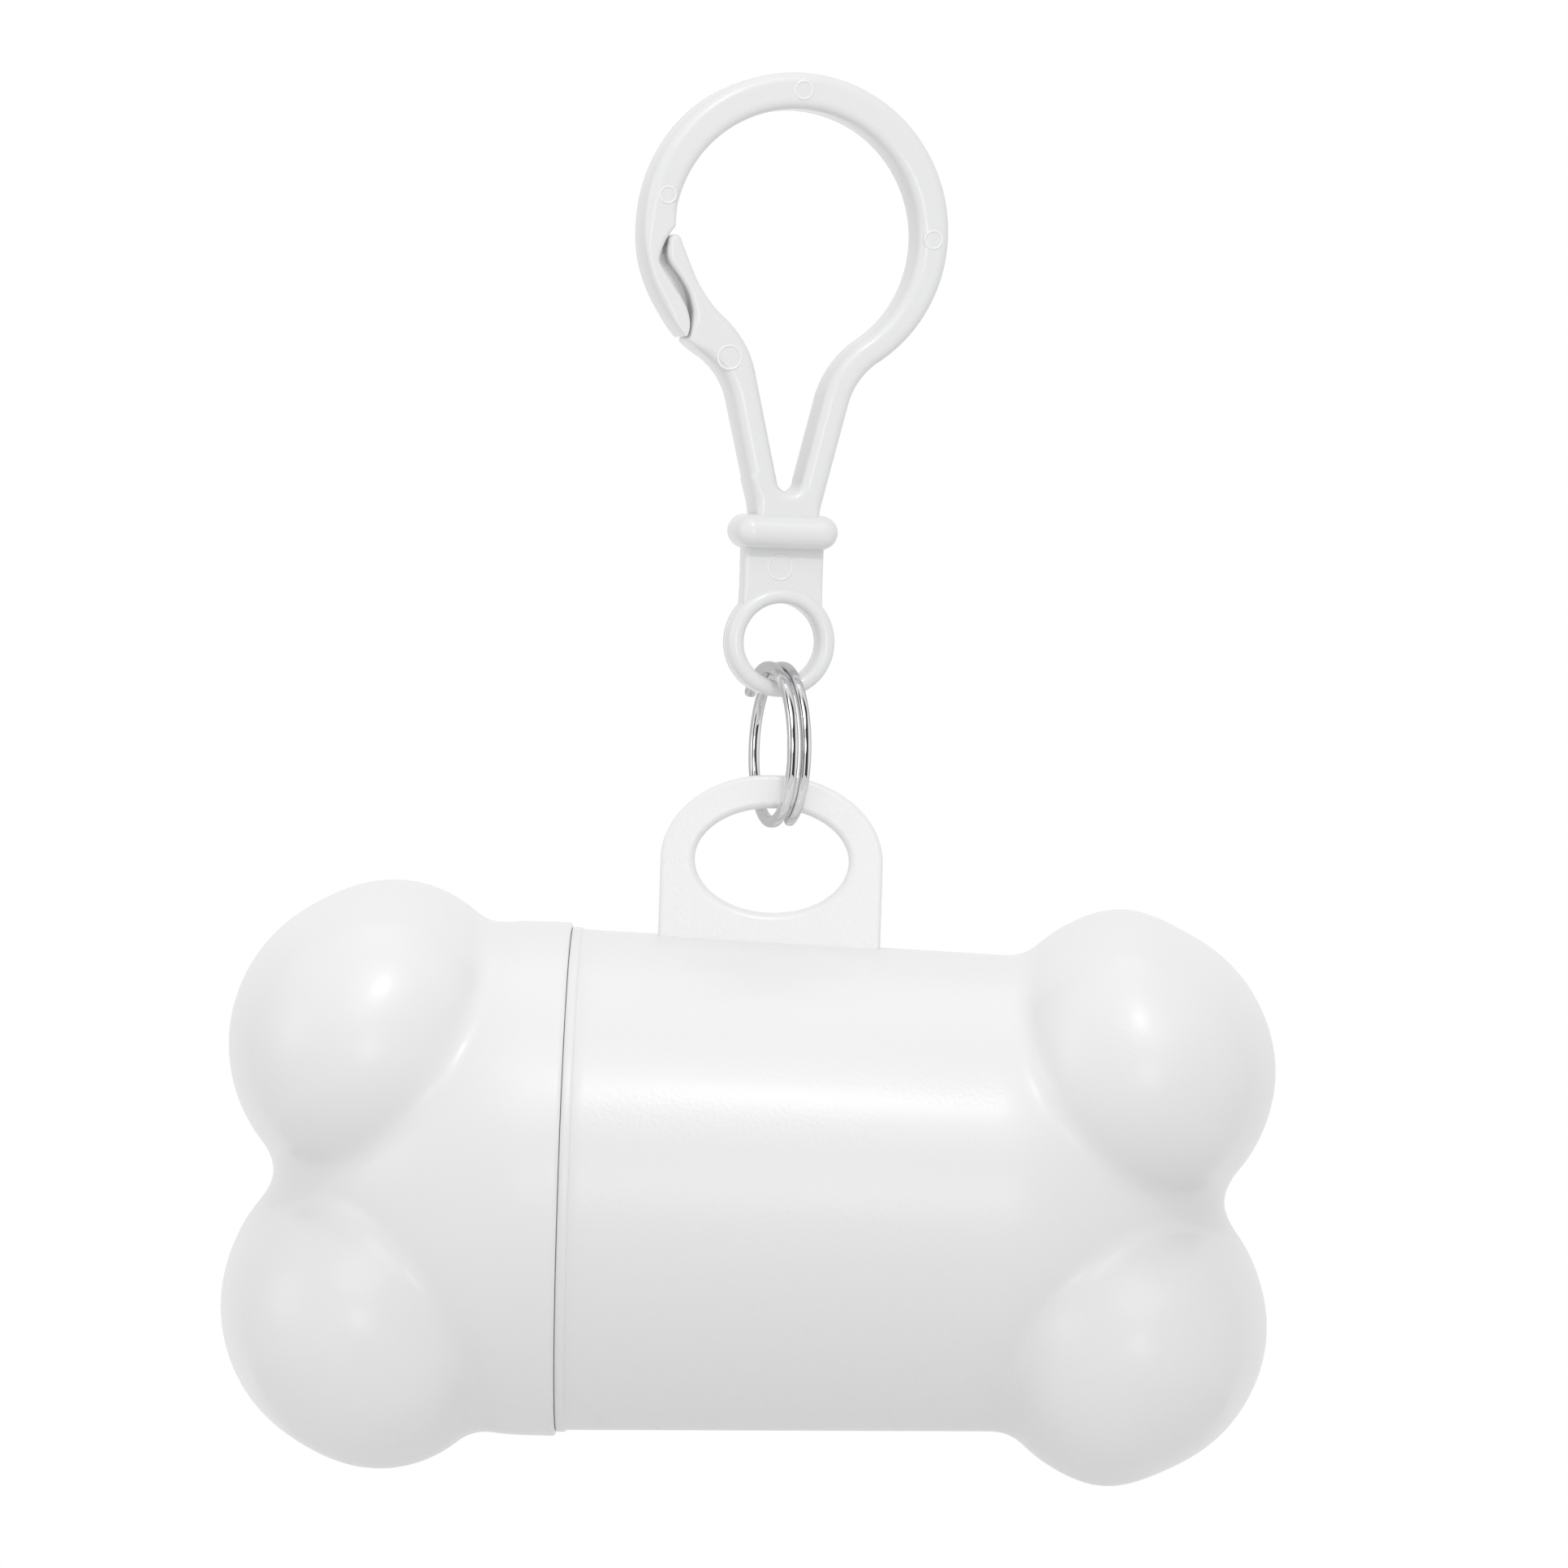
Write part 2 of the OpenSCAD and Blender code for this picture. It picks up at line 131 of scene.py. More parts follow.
class HookSizes(bpy.types.PropertyGroup):
    thick: mm("Plate", "Thickness of the hook's plate, mm", 4.2)
    yaw: mm("Yaw", "Turn of the hook about the vertical, degrees", 14.0)
    loop_r: mm("Loop radius", "Outer radius of the loop, mm", 12.8)
    loop_in_r: mm("Loop inside", "Inner radius of the loop, mm", 10.2)
    loop_bar: mm("Loop bar", "Bar of the loop at its top, mm", 3.0)
    leg_root: mm("Leg root", "From the loop's middle down to the legs' root, mm", 20.6)
    leg_half: mm("Leg spread", "Half width across the legs at their root, mm", 3.25)
    leg_lean: mm("Leg lean", "Slope of the legs from the vertical, degrees", 13.6)
    leg_bend: mm("Leg bend", "Outer radius of the bend into the loop, mm", 6.0)
    nose_wall: mm("Nose", "Widest wall of the nose, mm", 1.7)
    nose_end: mm("Nose end", "Angle below the level where the nose ends, degrees", 45.2)
    gate_in: mm("Gate inside", "From the loop's outer line to the gate's inner edge, mm", 3.45)
    tip_r: mm("Gate tip", "Radius of the gate's tip, mm", 0.55)
    tip_in: mm("Gate tip place", "From the loop's outer line to the tip's middle, mm", 2.52)
    edge: mm("Edge", "Rounding of the plate's edges, mm", 0.8)
    tail_bend: mm("Gate bend", "Inner radius of the gate's bend, mm", 8.0)
    collar_w: mm("Collar width", "Width of the collar, mm", 8.5)
    collar_h: mm("Collar height", "Height of the collar, mm", 2.8)
    collar_d: mm("Collar depth", "Depth of the collar, mm", 5.6)
    collar_drop: mm("Collar place", "From the loop's middle down to the collar, mm", 23.2)
    stem_w: mm("Stem width", "Width of the stem, mm", 6.6)
    stem_t: mm("Stem thickness", "Thickness of the set-back stem, mm", 2.2)
    eye_drop: mm("Eye place", "From the loop's middle down to the eye's middle, mm", 33.6)
    eye_r: mm("Eye radius", "Outer radius of the eye, mm", 4.5)
    eye_bar: mm("Eye bar", "Bar round the eye's hole, mm", 1.35)
    eye_t: mm("Eye thickness", "Thickness of the eye, mm", 2.8)


class RingSizes(bpy.types.PropertyGroup):
    outer_d: mm("Ring diameter", "Outside diameter, mm", 13.6)
    wire_r: mm("Wire across", "Thickness of the wire across the radius, mm", 0.95)
    wire_a: mm("Wire along", "Thickness of the wire along the ring's axis, mm", 0.85)
    pitch: mm("Pitch", "Distance between the turns, mm", 1.1)
    wind: mm("Winding", "Degrees the wire winds through", 575.0, high=1080.0)
    start: mm("Start", "Where the winding starts, degrees from the front", 285.0, high=360.0)
    yaw: mm("Ring yaw", "Turn about the vertical, degrees", 17.0)


class Colours(bpy.types.PropertyGroup):
    holder: tint("Holder", "Colour of the holder's plastic", (0.80, 0.80, 0.80))
    cap: tint("Cap", "Colour of the cap's plastic", (0.81, 0.81, 0.81))
    hook: tint("Hook", "Colour of the hook's plastic", (0.74, 0.743, 0.743))
    metal: tint("Metal", "Colour of the split ring", (0.74, 0.74, 0.75))
    film: tint("Film", "Colour of the bags", (0.016, 0.016, 0.018))
    board: tint("Board", "Colour of the roll's core", (0.46, 0.34, 0.22))
    floor: tint("Floor", "Colour of floor and backdrop", (0.92, 0.92, 0.92))


def sizes():
    return bpy.context.scene.bone_sizes


def hook_sizes():
    return bpy.context.scene.hook_sizes


def ring_sizes():
    return bpy.context.scene.ring_sizes


def colours():
    return bpy.context.scene.dispenser_colours


# ---------------------------------------------------------------- meshes

def strip_faces(rows, columns, wrap_rows=False):
    """Quads between neighbouring rows of points, each a closed ring; the rows may close too."""
    r, c = np.arange(rows if wrap_rows else rows - 1), np.arange(columns)
    r, c = (a.ravel() for a in np.meshgrid(r, c, indexing="ij"))
    r2, c2 = (r + 1) % rows, (c + 1) % columns
    return np.stack([r * columns + c, r * columns + c2, r2 * columns + c2, r2 * columns + c], axis=1)


def make_piece(name, grids, material, smooth_angle=35.0, merge=WELD):
    """Object from a list of (points in metres, quads); doubles merge and normals point out."""
    points, quads, start = [], [], 0
    for p, q in grids:
        p = np.asarray(p, dtype=float).reshape(-1, 3)
        points.append(p)
        quads += [[i + start for i in face] for face in (q.tolist() if hasattr(q, "tolist") else q)]
        start += len(p)
    mesh = bpy.data.meshes.new(name)
    mesh.from_pydata(np.concatenate(points).tolist(), [], quads)
    piece = bpy.data.objects.new(name, mesh)
    bpy.context.scene.collection.objects.link(piece)
    tidy_mesh(mesh, merge)
    shade(mesh, smooth_angle)
    mesh.materials.append(material)
    return piece


def tidy_mesh(mesh, merge):
    """Merges doubles, drops empty faces and turns every face outwards."""
    work = bmesh.new()
    work.from_mesh(mesh)
    bmesh.ops.remove_doubles(work, verts=work.verts, dist=merge)
    bmesh.ops.dissolve_degenerate(work, edges=work.edges, dist=merge / 4)
    bmesh.ops.recalc_face_normals(work, faces=work.faces)
    work.to_mesh(mesh)
    work.free()


def shade(mesh, angle):
    """Smooth shading, with edges sharper than the angle left sharp."""
    mesh.shade_smooth()
    mesh.set_sharp_from_angle(angle=math.radians(angle))


def cut_away(piece, cutter):
    """Takes the cutter out of the piece with an exact Boolean, and then deletes it."""
    modifier = piece.modifiers.new("Boolean", "BOOLEAN")
    modifier.operation, modifier.solver, modifier.object = "DIFFERENCE", "EXACT", cutter
    graph = bpy.context.evaluated_depsgraph_get()
    done = bpy.data.meshes.new_from_object(piece.evaluated_get(graph))
    piece.modifiers.clear()
    old = piece.data
    piece.data = done
    bpy.data.meshes.remove(old)
    bpy.data.objects.remove(cutter)


def on_bone(points):
    """Bone millimetres, measured from the seam's middle, into frame metres."""
    return (np.asarray(points) + SEAM) * MM


def on_hook(points):
    """Hook millimetres, measured from the loop's middle, turned by the yaw into metres."""
    h = hook_sizes()
    a = math.radians(h.yaw)
    p = np.asarray(points, dtype=float)
    x = p[..., 0] * math.cos(a) - p[..., 1] * math.sin(a)
    y = p[..., 0] * math.sin(a) + p[..., 1] * math.cos(a)
    z = p[..., 2] + HOOK_HIGH[2] - h.loop_r
    return np.stack([x, y, z], axis=-1) * MM


# ---------------------------------------------------------------- the bone

def soft_min(a, b, k):
    """Smaller of two distances, with a fillet about k wide where they cross."""
    h = np.clip(0.5 + 0.5 * (b - a) / k, 0.0, 1.0)
    return b + (a - b) * h - k * h * (1.0 - h)


def barrel_distance(p, r0, r1, length, side):
    """Distance to a tapered barrel from x=0 to length that ends in a ball of radius r1."""
    x = p[..., 0] * side
    radial = np.hypot(p[..., 1], p[..., 2])
    slope = math.atan2(r0 - r1, length)
    cone = (radial - r0) * math.cos(slope) + x * math.sin(slope)
    ball = np.hypot(x - length, radial) - r1
    return np.where(x < length, cone, ball)


# Outline of a lobe from the front, as radius over lobe_r at every tenth degree from
# outwards along the bone, through away from its axis, and round to the barrel's middle.
HOLDER_OUTLINE = [1.008, 1.0, 0.994, 0.992, 0.994, 1.0, 1.006, 1.02, 1.052, 1.106, 1.137, 1.13,
                  1.122, 1.118, 1.11, 1.09, 1.06, 1.04, 1.03, 1.03, 1.03, 1.03, 1.03, 1.03,
                  1.03, 1.03, 1.03, 1.03, 1.03, 1.03, 1.06, 1.07, 1.05, 1.035, 1.022, 1.014]
CAP_OUTLINE = [1.002, 1.0, 1.002, 1.008, 1.017, 1.03, 1.044, 1.066, 1.104, 1.146, 1.182, 1.203,
               1.213, 1.21, 1.19, 1.15, 1.1, 1.06, 1.03, 1.03, 1.03, 1.03, 1.03, 1.03,
               1.03, 1.03, 1.03, 1.03, 1.03, 1.03, 1.05, 1.06, 1.04, 1.025, 1.013, 1.005]

# A lobe's outline swells in full from this many millimetres off its line
SWELL_R = 9.0


def smooth_outline(marks):
    """The marks at every degree, blurred a little so that the lobe has no ridges."""
    turn = np.arange(360.0)
    line = np.interp(turn, np.arange(0, 361, 10), marks + marks[:1])
    blur = np.exp(-0.5 * ((turn + 180) % 360 - 180) ** 2 / 4.5 ** 2)
    return np.real(np.fft.ifft(np.fft.fft(line) * np.fft.fft(blur / blur.sum())))


def lobe_distance(p, x, z, marks, side):
    """Distance to an oval round the line through (x, z) that runs front to back, whose
    outline from the front swells as the marks say and is round again at its two ends."""
    s = sizes()
    end = s.lobe_depth - s.lobe_end_r
    arc_r = (s.lobe_r ** 2 + end ** 2 - s.lobe_end_r ** 2) / (s.lobe_r - s.lobe_end_r) / 2
    dx, dz = (p[..., 0] - x) * side, (p[..., 2] - z) * np.sign(z)
    rho = np.hypot(dx, dz)
    swell = np.interp(np.degrees(np.arctan2(dz, dx)) % 360, np.arange(361.0), np.append(marks, marks[0]))
    near = np.clip(rho / SWELL_R, 0.0, 1.0)
    rho = rho / (1 + (swell - 1) * near * near * (3 - 2 * near))
    y = np.abs(p[..., 1])
    flank = np.hypot(rho + arc_r - s.lobe_r, y) - arc_r
    tip = np.hypot(rho, y - end) - s.lobe_end_r
    past = (y - end) * (arc_r - s.lobe_r) > rho * end
    return np.where(past, tip, flank)


def bone_distance(p, r0, r1, length, reach, marks, side):
    """Distance to a barrel with two lobes beyond its end, one over and one under the axis."""
    s = sizes()
    x = (length + reach) * side
    lobes = np.minimum(lobe_distance(p, x, s.lobe_rise, marks, side),
                       lobe_distance(p, x, -s.lobe_rise, marks, side))
    return soft_min(barrel_distance(p, r0, r1, length, side), lobes, s.crease)


def holder_distance(p):
    s = sizes()
    return bone_distance(p, s.barrel_r, s.barrel_end_r, s.barrel_len, s.lobe_reach, HOLDER_LINE, 1)


def cap_distance(p):
    s = sizes()
    return bone_distance(p, s.cap_r, s.cap_r, s.cap_straight, s.cap_lobe_reach, CAP_LINE, -1)


HOLDER_LINE, CAP_LINE = smooth_outline(HOLDER_OUTLINE), smooth_outline(CAP_OUTLINE)
LONGEST_RAY, HALVINGS = 60.0, 40


def cast(starts, ways, distance, level):
    """Where rays from inside cross distance = level, by halving an interval again and again."""
    near = np.zeros(starts.shape[:-1])
    far = near + LONGEST_RAY
    for _ in range(HALVINGS):
        middle = (near + far) / 2
        inside = distance(starts + ways * middle[..., None]) < level
        near = np.where(inside, middle, near)
        far = np.where(inside, far, middle)
    return starts + ways * near[..., None]


def spokes_at(angles):
    """Directions square to the axis, from upwards round by the front."""
    return np.stack([angles * 0, -np.sin(angles), np.cos(angles)], axis=-1)


def rays(along, fan, ball_x, side, angles):
    """Rays square to the axis along the barrel, then fanned out over the dome to its pole."""
    axis = np.array([side, 0.0, 0.0])
    starts = np.concatenate([
        np.stack([along, along * 0, along * 0], axis=-1),
        np.tile([ball_x, 0.0, 0.0], (len(fan), 1))])
    lean = np.concatenate([along * 0, fan])
    ways = (np.cos(lean)[:, None, None] * spokes_at(angles)[None]
            + np.sin(lean)[:, None, None] * axis)
    return np.repeat(starts[:, None], len(angles), axis=1), ways


def turned_rows(profile, angles):
    """Rows of a round part from its (x, radius) profile."""
    x, r = np.array(profile).T
    return x[:, None, None] * np.array([1.0, 0, 0]) + r[:, None, None] * spokes_at(angles)[None]


# Rows and columns of a shell's grid, and half the groove between the shells, in radians
ROUND_COUNT, FAN_COUNT, BARREL_COUNT = 190, 150, 26
GROOVE_STEP = 0.004


def groove_edges(rows, depth):
    """Sinks the first and last column a little, so a fine line shows between two shells."""
    rows = rows.copy()
    for edge in (0, -1):
        r = np.hypot(rows[:, edge, 1], rows[:, edge, 2])[:, None]
        shrink = 1 - np.minimum(depth / np.maximum(r, 1e-6), 0.2)
        rows[:, edge, 1:] *= shrink
    return rows


def joint_angles(front, count):
    """Angles round one shell, with an extra step by each joint line for the fine groove."""
    a = np.linspace(0.0, math.pi, count)
    a = np.concatenate([[0.0, GROOVE_STEP], a[1:-1], [math.pi - GROOVE_STEP, math.pi]])
    return a if front else a + math.pi


def half_shell(outer, inner):
    """Closed solid between matching outer and inner rows of half a shell."""
    rows = np.concatenate([outer, inner[:, ::-1]], axis=1)
    n, m = rows.shape[:2]
    quads = strip_faces(n, m)
    half = outer.shape[1]
    c = np.arange(half - 1)
    rim = np.stack([c, m - 1 - c, m - 2 - c, c + 1], axis=1)
    return on_bone(rows.reshape(-1, 3)), np.concatenate([quads, rim])


def holder_half(front):
    """One of the holder's shells: neck, lip, barrel and lobes, with the wall's inside."""
    s = sizes()
    a = joint_angles(front, ROUND_COUNT)
    along = np.linspace(s.lip_len + 0.1, s.barrel_len, BARREL_COUNT)
    fan = np.linspace(0.0, math.pi / 2, FAN_COUNT)[1:]
    starts, ways = rays(along, fan, s.barrel_len, 1, a)
    outer = cast(starts, ways, holder_distance, 0.0)
    inner = cast(starts, ways, holder_distance, -s.wall)
    lip, neck_in_r = s.barrel_r + s.lip_step, s.neck_r - s.neck_wall
    edge, ridge = 0.25, 0.1
    outside = turned_rows([
        (-s.neck_len, s.neck_r - edge), (-s.neck_len + edge, s.neck_r), (-s.neck_len / 2 - 0.4, s.neck_r),
        (-s.neck_len / 2, s.neck_r + ridge), (-s.neck_len / 2 + 0.4, s.neck_r), (-0.02, s.neck_r),
        (0.0, s.neck_r + 0.02), (0.0, lip - 0.2), (0.05, lip - 0.06), (0.2, lip),
        (s.lip_len - 0.15, lip), (s.lip_len, lip - 0.06), (s.lip_len + 0.05, s.barrel_r)], a)
    bore = [-4.0, -3.0, -2.0, -1.0, 0.0, 0.3, 0.4, 0.5, 0.6, 0.7, 0.8]
    inside = turned_rows([(-s.neck_len, neck_in_r + edge), (-s.neck_len + edge, neck_in_r)]
                         + [(x, neck_in_r) for x in bore], a)
    outer = groove_edges(np.concatenate([outside, outer]), s.joint_groove)
    return half_shell(outer, np.concatenate([inside, inner]))


def cap_half(front):
    """One of the cap's shells: skirt with a widened bore, and the two lobes."""
    s = sizes()
    a = joint_angles(front, ROUND_COUNT)
    along = -np.linspace(0.5, s.cap_straight, 8)
    fan = np.linspace(0.0, math.pi / 2, FAN_COUNT)[1:]
    starts, ways = rays(along, fan, -s.cap_straight, -1, a)
    outer = cast(starts, ways, cap_distance, 0.0)
    inner = cast(starts, ways, cap_distance, -s.wall)
    bore = s.cap_r - s.wall
    mouth = (inner[..., 0] > -s.neck_len - 0.4)
    radial = np.hypot(inner[..., 1], inner[..., 2])
    grow = np.where(mouth, np.maximum(bore / np.maximum(radial, 1e-6), 1.0), 1.0)
    inner[..., 1:] *= grow[..., None]
    outside = turned_rows([(-0.02, s.cap_r - 0.3), (-0.02, s.cap_r - 0.22), (-0.08, s.cap_r - 0.08),
                           (-0.22, s.cap_r)], a)
    inside = turned_rows([(-0.02, bore + 0.25), (-0.05, bore + 0.2), (-0.15, bore + 0.08), (-0.3, bore)], a)
    outer = groove_edges(np.concatenate([outside, outer]), s.joint_groove)
    return half_shell(outer, np.concatenate([inside, inner]))


def edge_section(reach, power, count=8):
    """Distances in from the side and down from the face of a worn edge:
    reach (1 - cos^power) and reach (1 - sin^power), with one more mark on the flat face."""
    t = np.radians(np.linspace(0, 90, count))
    marks = reach * np.stack([1 - np.cos(t) ** power, 1 - np.sin(t) ** power], axis=-1)
    return np.concatenate([marks, [[reach + 0.12, 0.0]]])


def tab_grid():
    """Plate with an oval eye: a rounded section carried round the eye between two outlines."""
    s = sizes()
    t = np.linspace(0, TURN, 240, endpoint=False)
    eye = np.stack([s.tab_eye_a * np.cos(t), s.tab_eye_b * np.sin(t)], axis=-1)
    half_w, top, foot = s.tab_w / 2, s.tab_eye_b + s.tab_bar, s.barrel_r - 1.0 - s.tab_eye_z
    upper = np.stack([half_w * np.cos(t), top * np.sin(t)], axis=-1)
    way = np.stack([np.cos(t) * half_w, np.sin(t) * -foot], axis=-1)
    reach = np.minimum(half_w / np.maximum(np.abs(way[:, 0]), 1e-6), foot / np.minimum(way[:, 1], -1e-6))
    lower = way * reach[:, None]
    outline = np.where((np.sin(t) >= 0)[:, None], upper, lower)
    out = outline - eye
    out /= np.hypot(*out.T)[:, None]
    inner, outer = edge_section(s.tab_chamfer, 1.3), edge_section(0.35, 1.0)
    near = eye[:, None] + out[:, None] * inner[None, :, :1]
    far = (outline[:, None] - out[:, None] * outer[None, :, :1])[:, ::-1]
    front = np.concatenate([near, far], axis=1)
    depth = s.tab_t / 2 - np.concatenate([inner[:, 1], outer[::-1, 1]])
    flat = np.concatenate([front, front[:, ::-1]], axis=1)
    y = np.broadcast_to(np.concatenate([-depth, depth[::-1]])[None], flat.shape[:2])
    points = np.stack([flat[..., 0] + s.tab_x, y, flat[..., 1] + s.tab_eye_z], axis=-1)
    return on_bone(points.reshape(-1, 3)), strip_faces(*flat.shape[:2], wrap_rows=True)


def slot_cutter():
    """Closed outline of the bag slot and its wider hole, carried through the back wall."""
    s = sizes()
    a = np.linspace(-math.pi / 2, math.pi / 2, 17)
    r, w, x = s.slot_eye / 2, s.slot_w / 2, s.slot_len / 2 - s.slot_w / 2
    enter = math.asin(w / r)
    b = np.linspace(enter, math.pi - enter, 33)
    right = np.stack([x + w * np.cos(a), w * np.sin(a)], axis=-1)
    top = np.stack([r * np.cos(b), r * np.sin(b)], axis=-1)
    outline = np.concatenate([right, top, -right, -top])
    y = np.array([12.0, 26.0])  # from inside the barrel to clear of its back
    points = np.stack([
        np.broadcast_to(outline[None, :, 0] + s.tab_x, (2, len(outline))),
        np.broadcast_to(y[:, None], (2, len(outline))),
        np.broadcast_to(outline[None, :, 1], (2, len(outline)))], axis=-1)
    n = len(outline)
    mesh = bpy.data.meshes.new("slot_cutter")
    faces = strip_faces(2, n).tolist() + [list(range(n)), list(range(n, 2 * n))]
    mesh.from_pydata(on_bone(points.reshape(-1, 3)).tolist(), [], faces)
    tidy_mesh(mesh, FINE_WELD)
    cutter = bpy.data.objects.new("slot_cutter", mesh)
    bpy.context.scene.collection.objects.link(cutter)
    return cutter


# ---------------------------------------------------------------- the hook

def arc(centre, r, a0, a1, step=0.5):
    """Points of an arc, in degrees."""
    n = max(2, int(abs(a1 - a0) / step) + 1)
    a = np.radians(np.linspace(a0, a1, n))
    return np.asarray(centre) + r * np.stack([np.cos(a), np.sin(a)], axis=-1)


def heading(v):
    return math.degrees(math.atan2(v[1], v[0]))


def bend_centre(p, way, normal, f, r):
    """Centre of a bend of radius f that leaves a line and meets a circle of radius r."""
    q = p + f * normal
    b = q @ way
    return q + (-b - math.sqrt(b * b - q @ q + (r + f) ** 2)) * way


# Inner edge of the nose and outer edge of the gate that follows it: part of the way down
# to the nose's end, and distance from the loop's outer line over the nose's wall.
NOSE_EDGE = [[0.08, 1.29], [0.19, 0.93], [0.27, 0.7], [0.33, 0.58], [0.41, 0.68], [0.5, 0.82], [0.6, 0.94],
             [0.7, 0.99], [0.8, 0.94], [0.88, 0.77], [0.94, 0.54], [0.98, 0.26], [1, 0]]
GATE_EDGE = [[1.035, 0], [1.01, 0.22], [0.97, 0.52], [0.9, 0.92], [0.84, 1.13], [0.76, 1.29], [0.69, 1.36],
             [0.61, 1.36], [0.53, 1.3], [0.45, 1.19], [0.37, 1.04], [0.3, 1], [0.23, 1.06], [0.18, 1.15]]
TIP_TURN = 7.5  # degrees below the level, where the gate's tip lies
FOOT_DROP = 1.6  # how far the gate's round foot lies below the legs' root, mm
MIRROR = np.array([-1.0, 1.0])


def edge_line(marks, steps=8):
    """Smooth line through the marks, each a turn and a depth about the loop's middle."""
    h, m = hook_sizes(), np.array(marks, dtype=float)
    a, b, c, d = (m[np.clip(np.arange(len(m) - 1) + k, 0, len(m) - 1)][:, None] for k in (-1, 0, 1, 2))
    t = (np.arange(steps) / steps)[None, :, None]
    m = b + t / 2 * (c - a + t * (2 * a - 5 * b + 4 * c - d + t * (3 * b - a - 3 * c + d)))
    m = m.reshape(-1, 2)
    turn, r = np.radians(180 + h.nose_end * m[:, 0]), h.loop_r - h.nose_wall * m[:, 1]
    return r[:, None] * np.stack([np.cos(turn), np.sin(turn)], axis=-1)


class HookLines:
    """Named points and centres of the hook, seen from the front, loop's middle at zero."""

    def __init__(self):
        h = hook_sizes()
        lean = math.radians(h.leg_lean)
        way = self.way = np.array([math.sin(lean), math.cos(lean)])
        normal = np.array([math.cos(lean), -math.sin(lean)])
        out = np.array([h.leg_half, -h.leg_root])
        self.bend = bend_centre(out, way, normal, h.leg_bend, h.loop_r)
        self.inside = np.array([0.0, h.loop_r - h.loop_bar - h.loop_in_r])
        self.inner_bend = math.hypot(*(self.bend - self.inside)) - h.loop_in_r
        self.leg_w = self.inner_bend - h.leg_bend
        self.leg_angle = 180 - h.leg_lean
        self.root = out - normal * self.leg_w / 2
        self.tail_in = h.loop_r - h.gate_in
        self.tail = bend_centre(out - normal * self.leg_w, way, normal, h.tail_bend, self.tail_in)

    def frame_outline(self):
        """Loop, nose, right leg, the valley between the legs and the left leg's stub."""
        h = hook_sizes()
        low = h.collar_drop + h.collar_h / 2
        narrow = h.leg_half - (low - h.leg_root) * math.tan(math.radians(h.leg_lean))
        left = self.root * MIRROR
        return np.concatenate([
            [[narrow, -low]],
            arc(self.bend, h.leg_bend, self.leg_angle, heading(-self.bend)),
            arc([0, 0], h.loop_r, heading(self.bend), 180 + h.nose_end),
            edge_line(NOSE_EDGE)[::-1],
            arc(self.inside, h.loop_in_r, 178.5, heading(self.bend - self.inside)),
            arc(self.bend, self.inner_bend, heading(self.inside - self.bend), self.leg_angle),
            arc([0, self.root[1]], self.root[0] - self.leg_w / 2, 0, -180),
            arc(left, self.leg_w / 2 - 0.02, 0, 180, 4), [[-narrow, -low]]])

    def gate_outline(self):
        """Left leg, shoulder, the edge that follows the nose, the tip and the inner edge."""
        h = hook_sizes()
        a = math.radians(TIP_TURN)
        tip = (h.tip_in - h.loop_r) * np.array([math.cos(a), math.sin(a)])
        return np.concatenate([
            arc(self.bend, h.leg_bend, self.leg_angle, heading(-self.bend)) * MIRROR,
            arc([0, 0], h.loop_r, heading(self.bend), -h.nose_end * GATE_EDGE[0][0] - 1) * MIRROR,
            edge_line(GATE_EDGE), arc(tip, h.tip_r, 180 + TIP_TURN, TIP_TURN, 5),
            arc([0, 0], self.tail_in, -3 * TIP_TURN, heading(self.tail)) * MIRROR,
            arc(self.tail, h.tail_bend, heading(-self.tail), self.leg_angle) * MIRROR,
            arc((self.root - FOOT_DROP * self.way) * MIRROR, self.leg_w / 2 - 0.05,
                h.leg_lean, h.leg_lean - 180, 4)])


def even(outline, step=0.16):
    """The closed outline with evenly spaced points, turning left."""
    p = np.concatenate([outline, outline[:1]])
    gaps = np.hypot(*np.diff(p, axis=0).T)
    keep = np.concatenate([[True], gaps > 1e-6])
    p = p[keep]
    at = np.concatenate([[0], np.cumsum(np.hypot(*np.diff(p, axis=0).T))])
    t = np.linspace(0, at[-1], int(at[-1] / step), endpoint=False)
    q = np.stack([np.interp(t, at, p[:, 0]), np.interp(t, at, p[:, 1])], axis=-1)
    turned = np.sum(q[:, 0] * np.roll(q[:, 1], -1) - q[:, 1] * np.roll(q[:, 0], -1))
    return q if turned > 0 else q[::-1]


def rounded_plate(outline, thick, edge, share=0.7):
    """Plate with the outline, whose edges roll over by a quarter circle. Where the plate is
    narrow the quarter circle shrinks to the largest circle that touches both sides."""
    q = even(outline)
    along = np.roll(q, -1, axis=0) - np.roll(q, 1, axis=0)
    along /= np.hypot(*along.T)[:, None]
    inward = np.stack([-along[:, 1], along[:, 0]], axis=-1)
    away = q[None] - q[:, None]
    depth = np.einsum("ijk,ik->ij", away, inward)
    fit = np.where(depth > 0.004, np.sum(away ** 2, axis=-1) / np.maximum(2 * depth, 1e-9), 1e9).min(axis=1)
    roll = np.minimum(edge, share * fit)
    roll = np.stack([np.roll(roll, k) for k in range(-5, 6)]).min(axis=0)
    roll = np.stack([np.roll(roll, k) for k in range(-5, 6)]).mean(axis=0)
    turn = np.radians(np.linspace(0, 90, 6))
    steps = np.append(1 - np.cos(turn), 1 + 0.4 * (1 / share - 1))
    inset = roll[None] * steps[:, None]
    rise = thick / 2 - roll[None] * np.append(1 - np.sin(turn), 0.0)[:, None]
    ring = q[None] + inward[None] * inset[..., None]
    half = np.stack([ring[..., 0], -rise, ring[..., 1]], axis=-1)
    back = half[::-1] * np.array([1.0, -1.0, 1.0])
    points = np.concatenate([back, half])
    rows, n = points.shape[:2]
    faces = strip_faces(rows, n).tolist() + [list(range(n)), list(range((rows - 1) * n, rows * n))]
    return points.reshape(-1, 3), faces


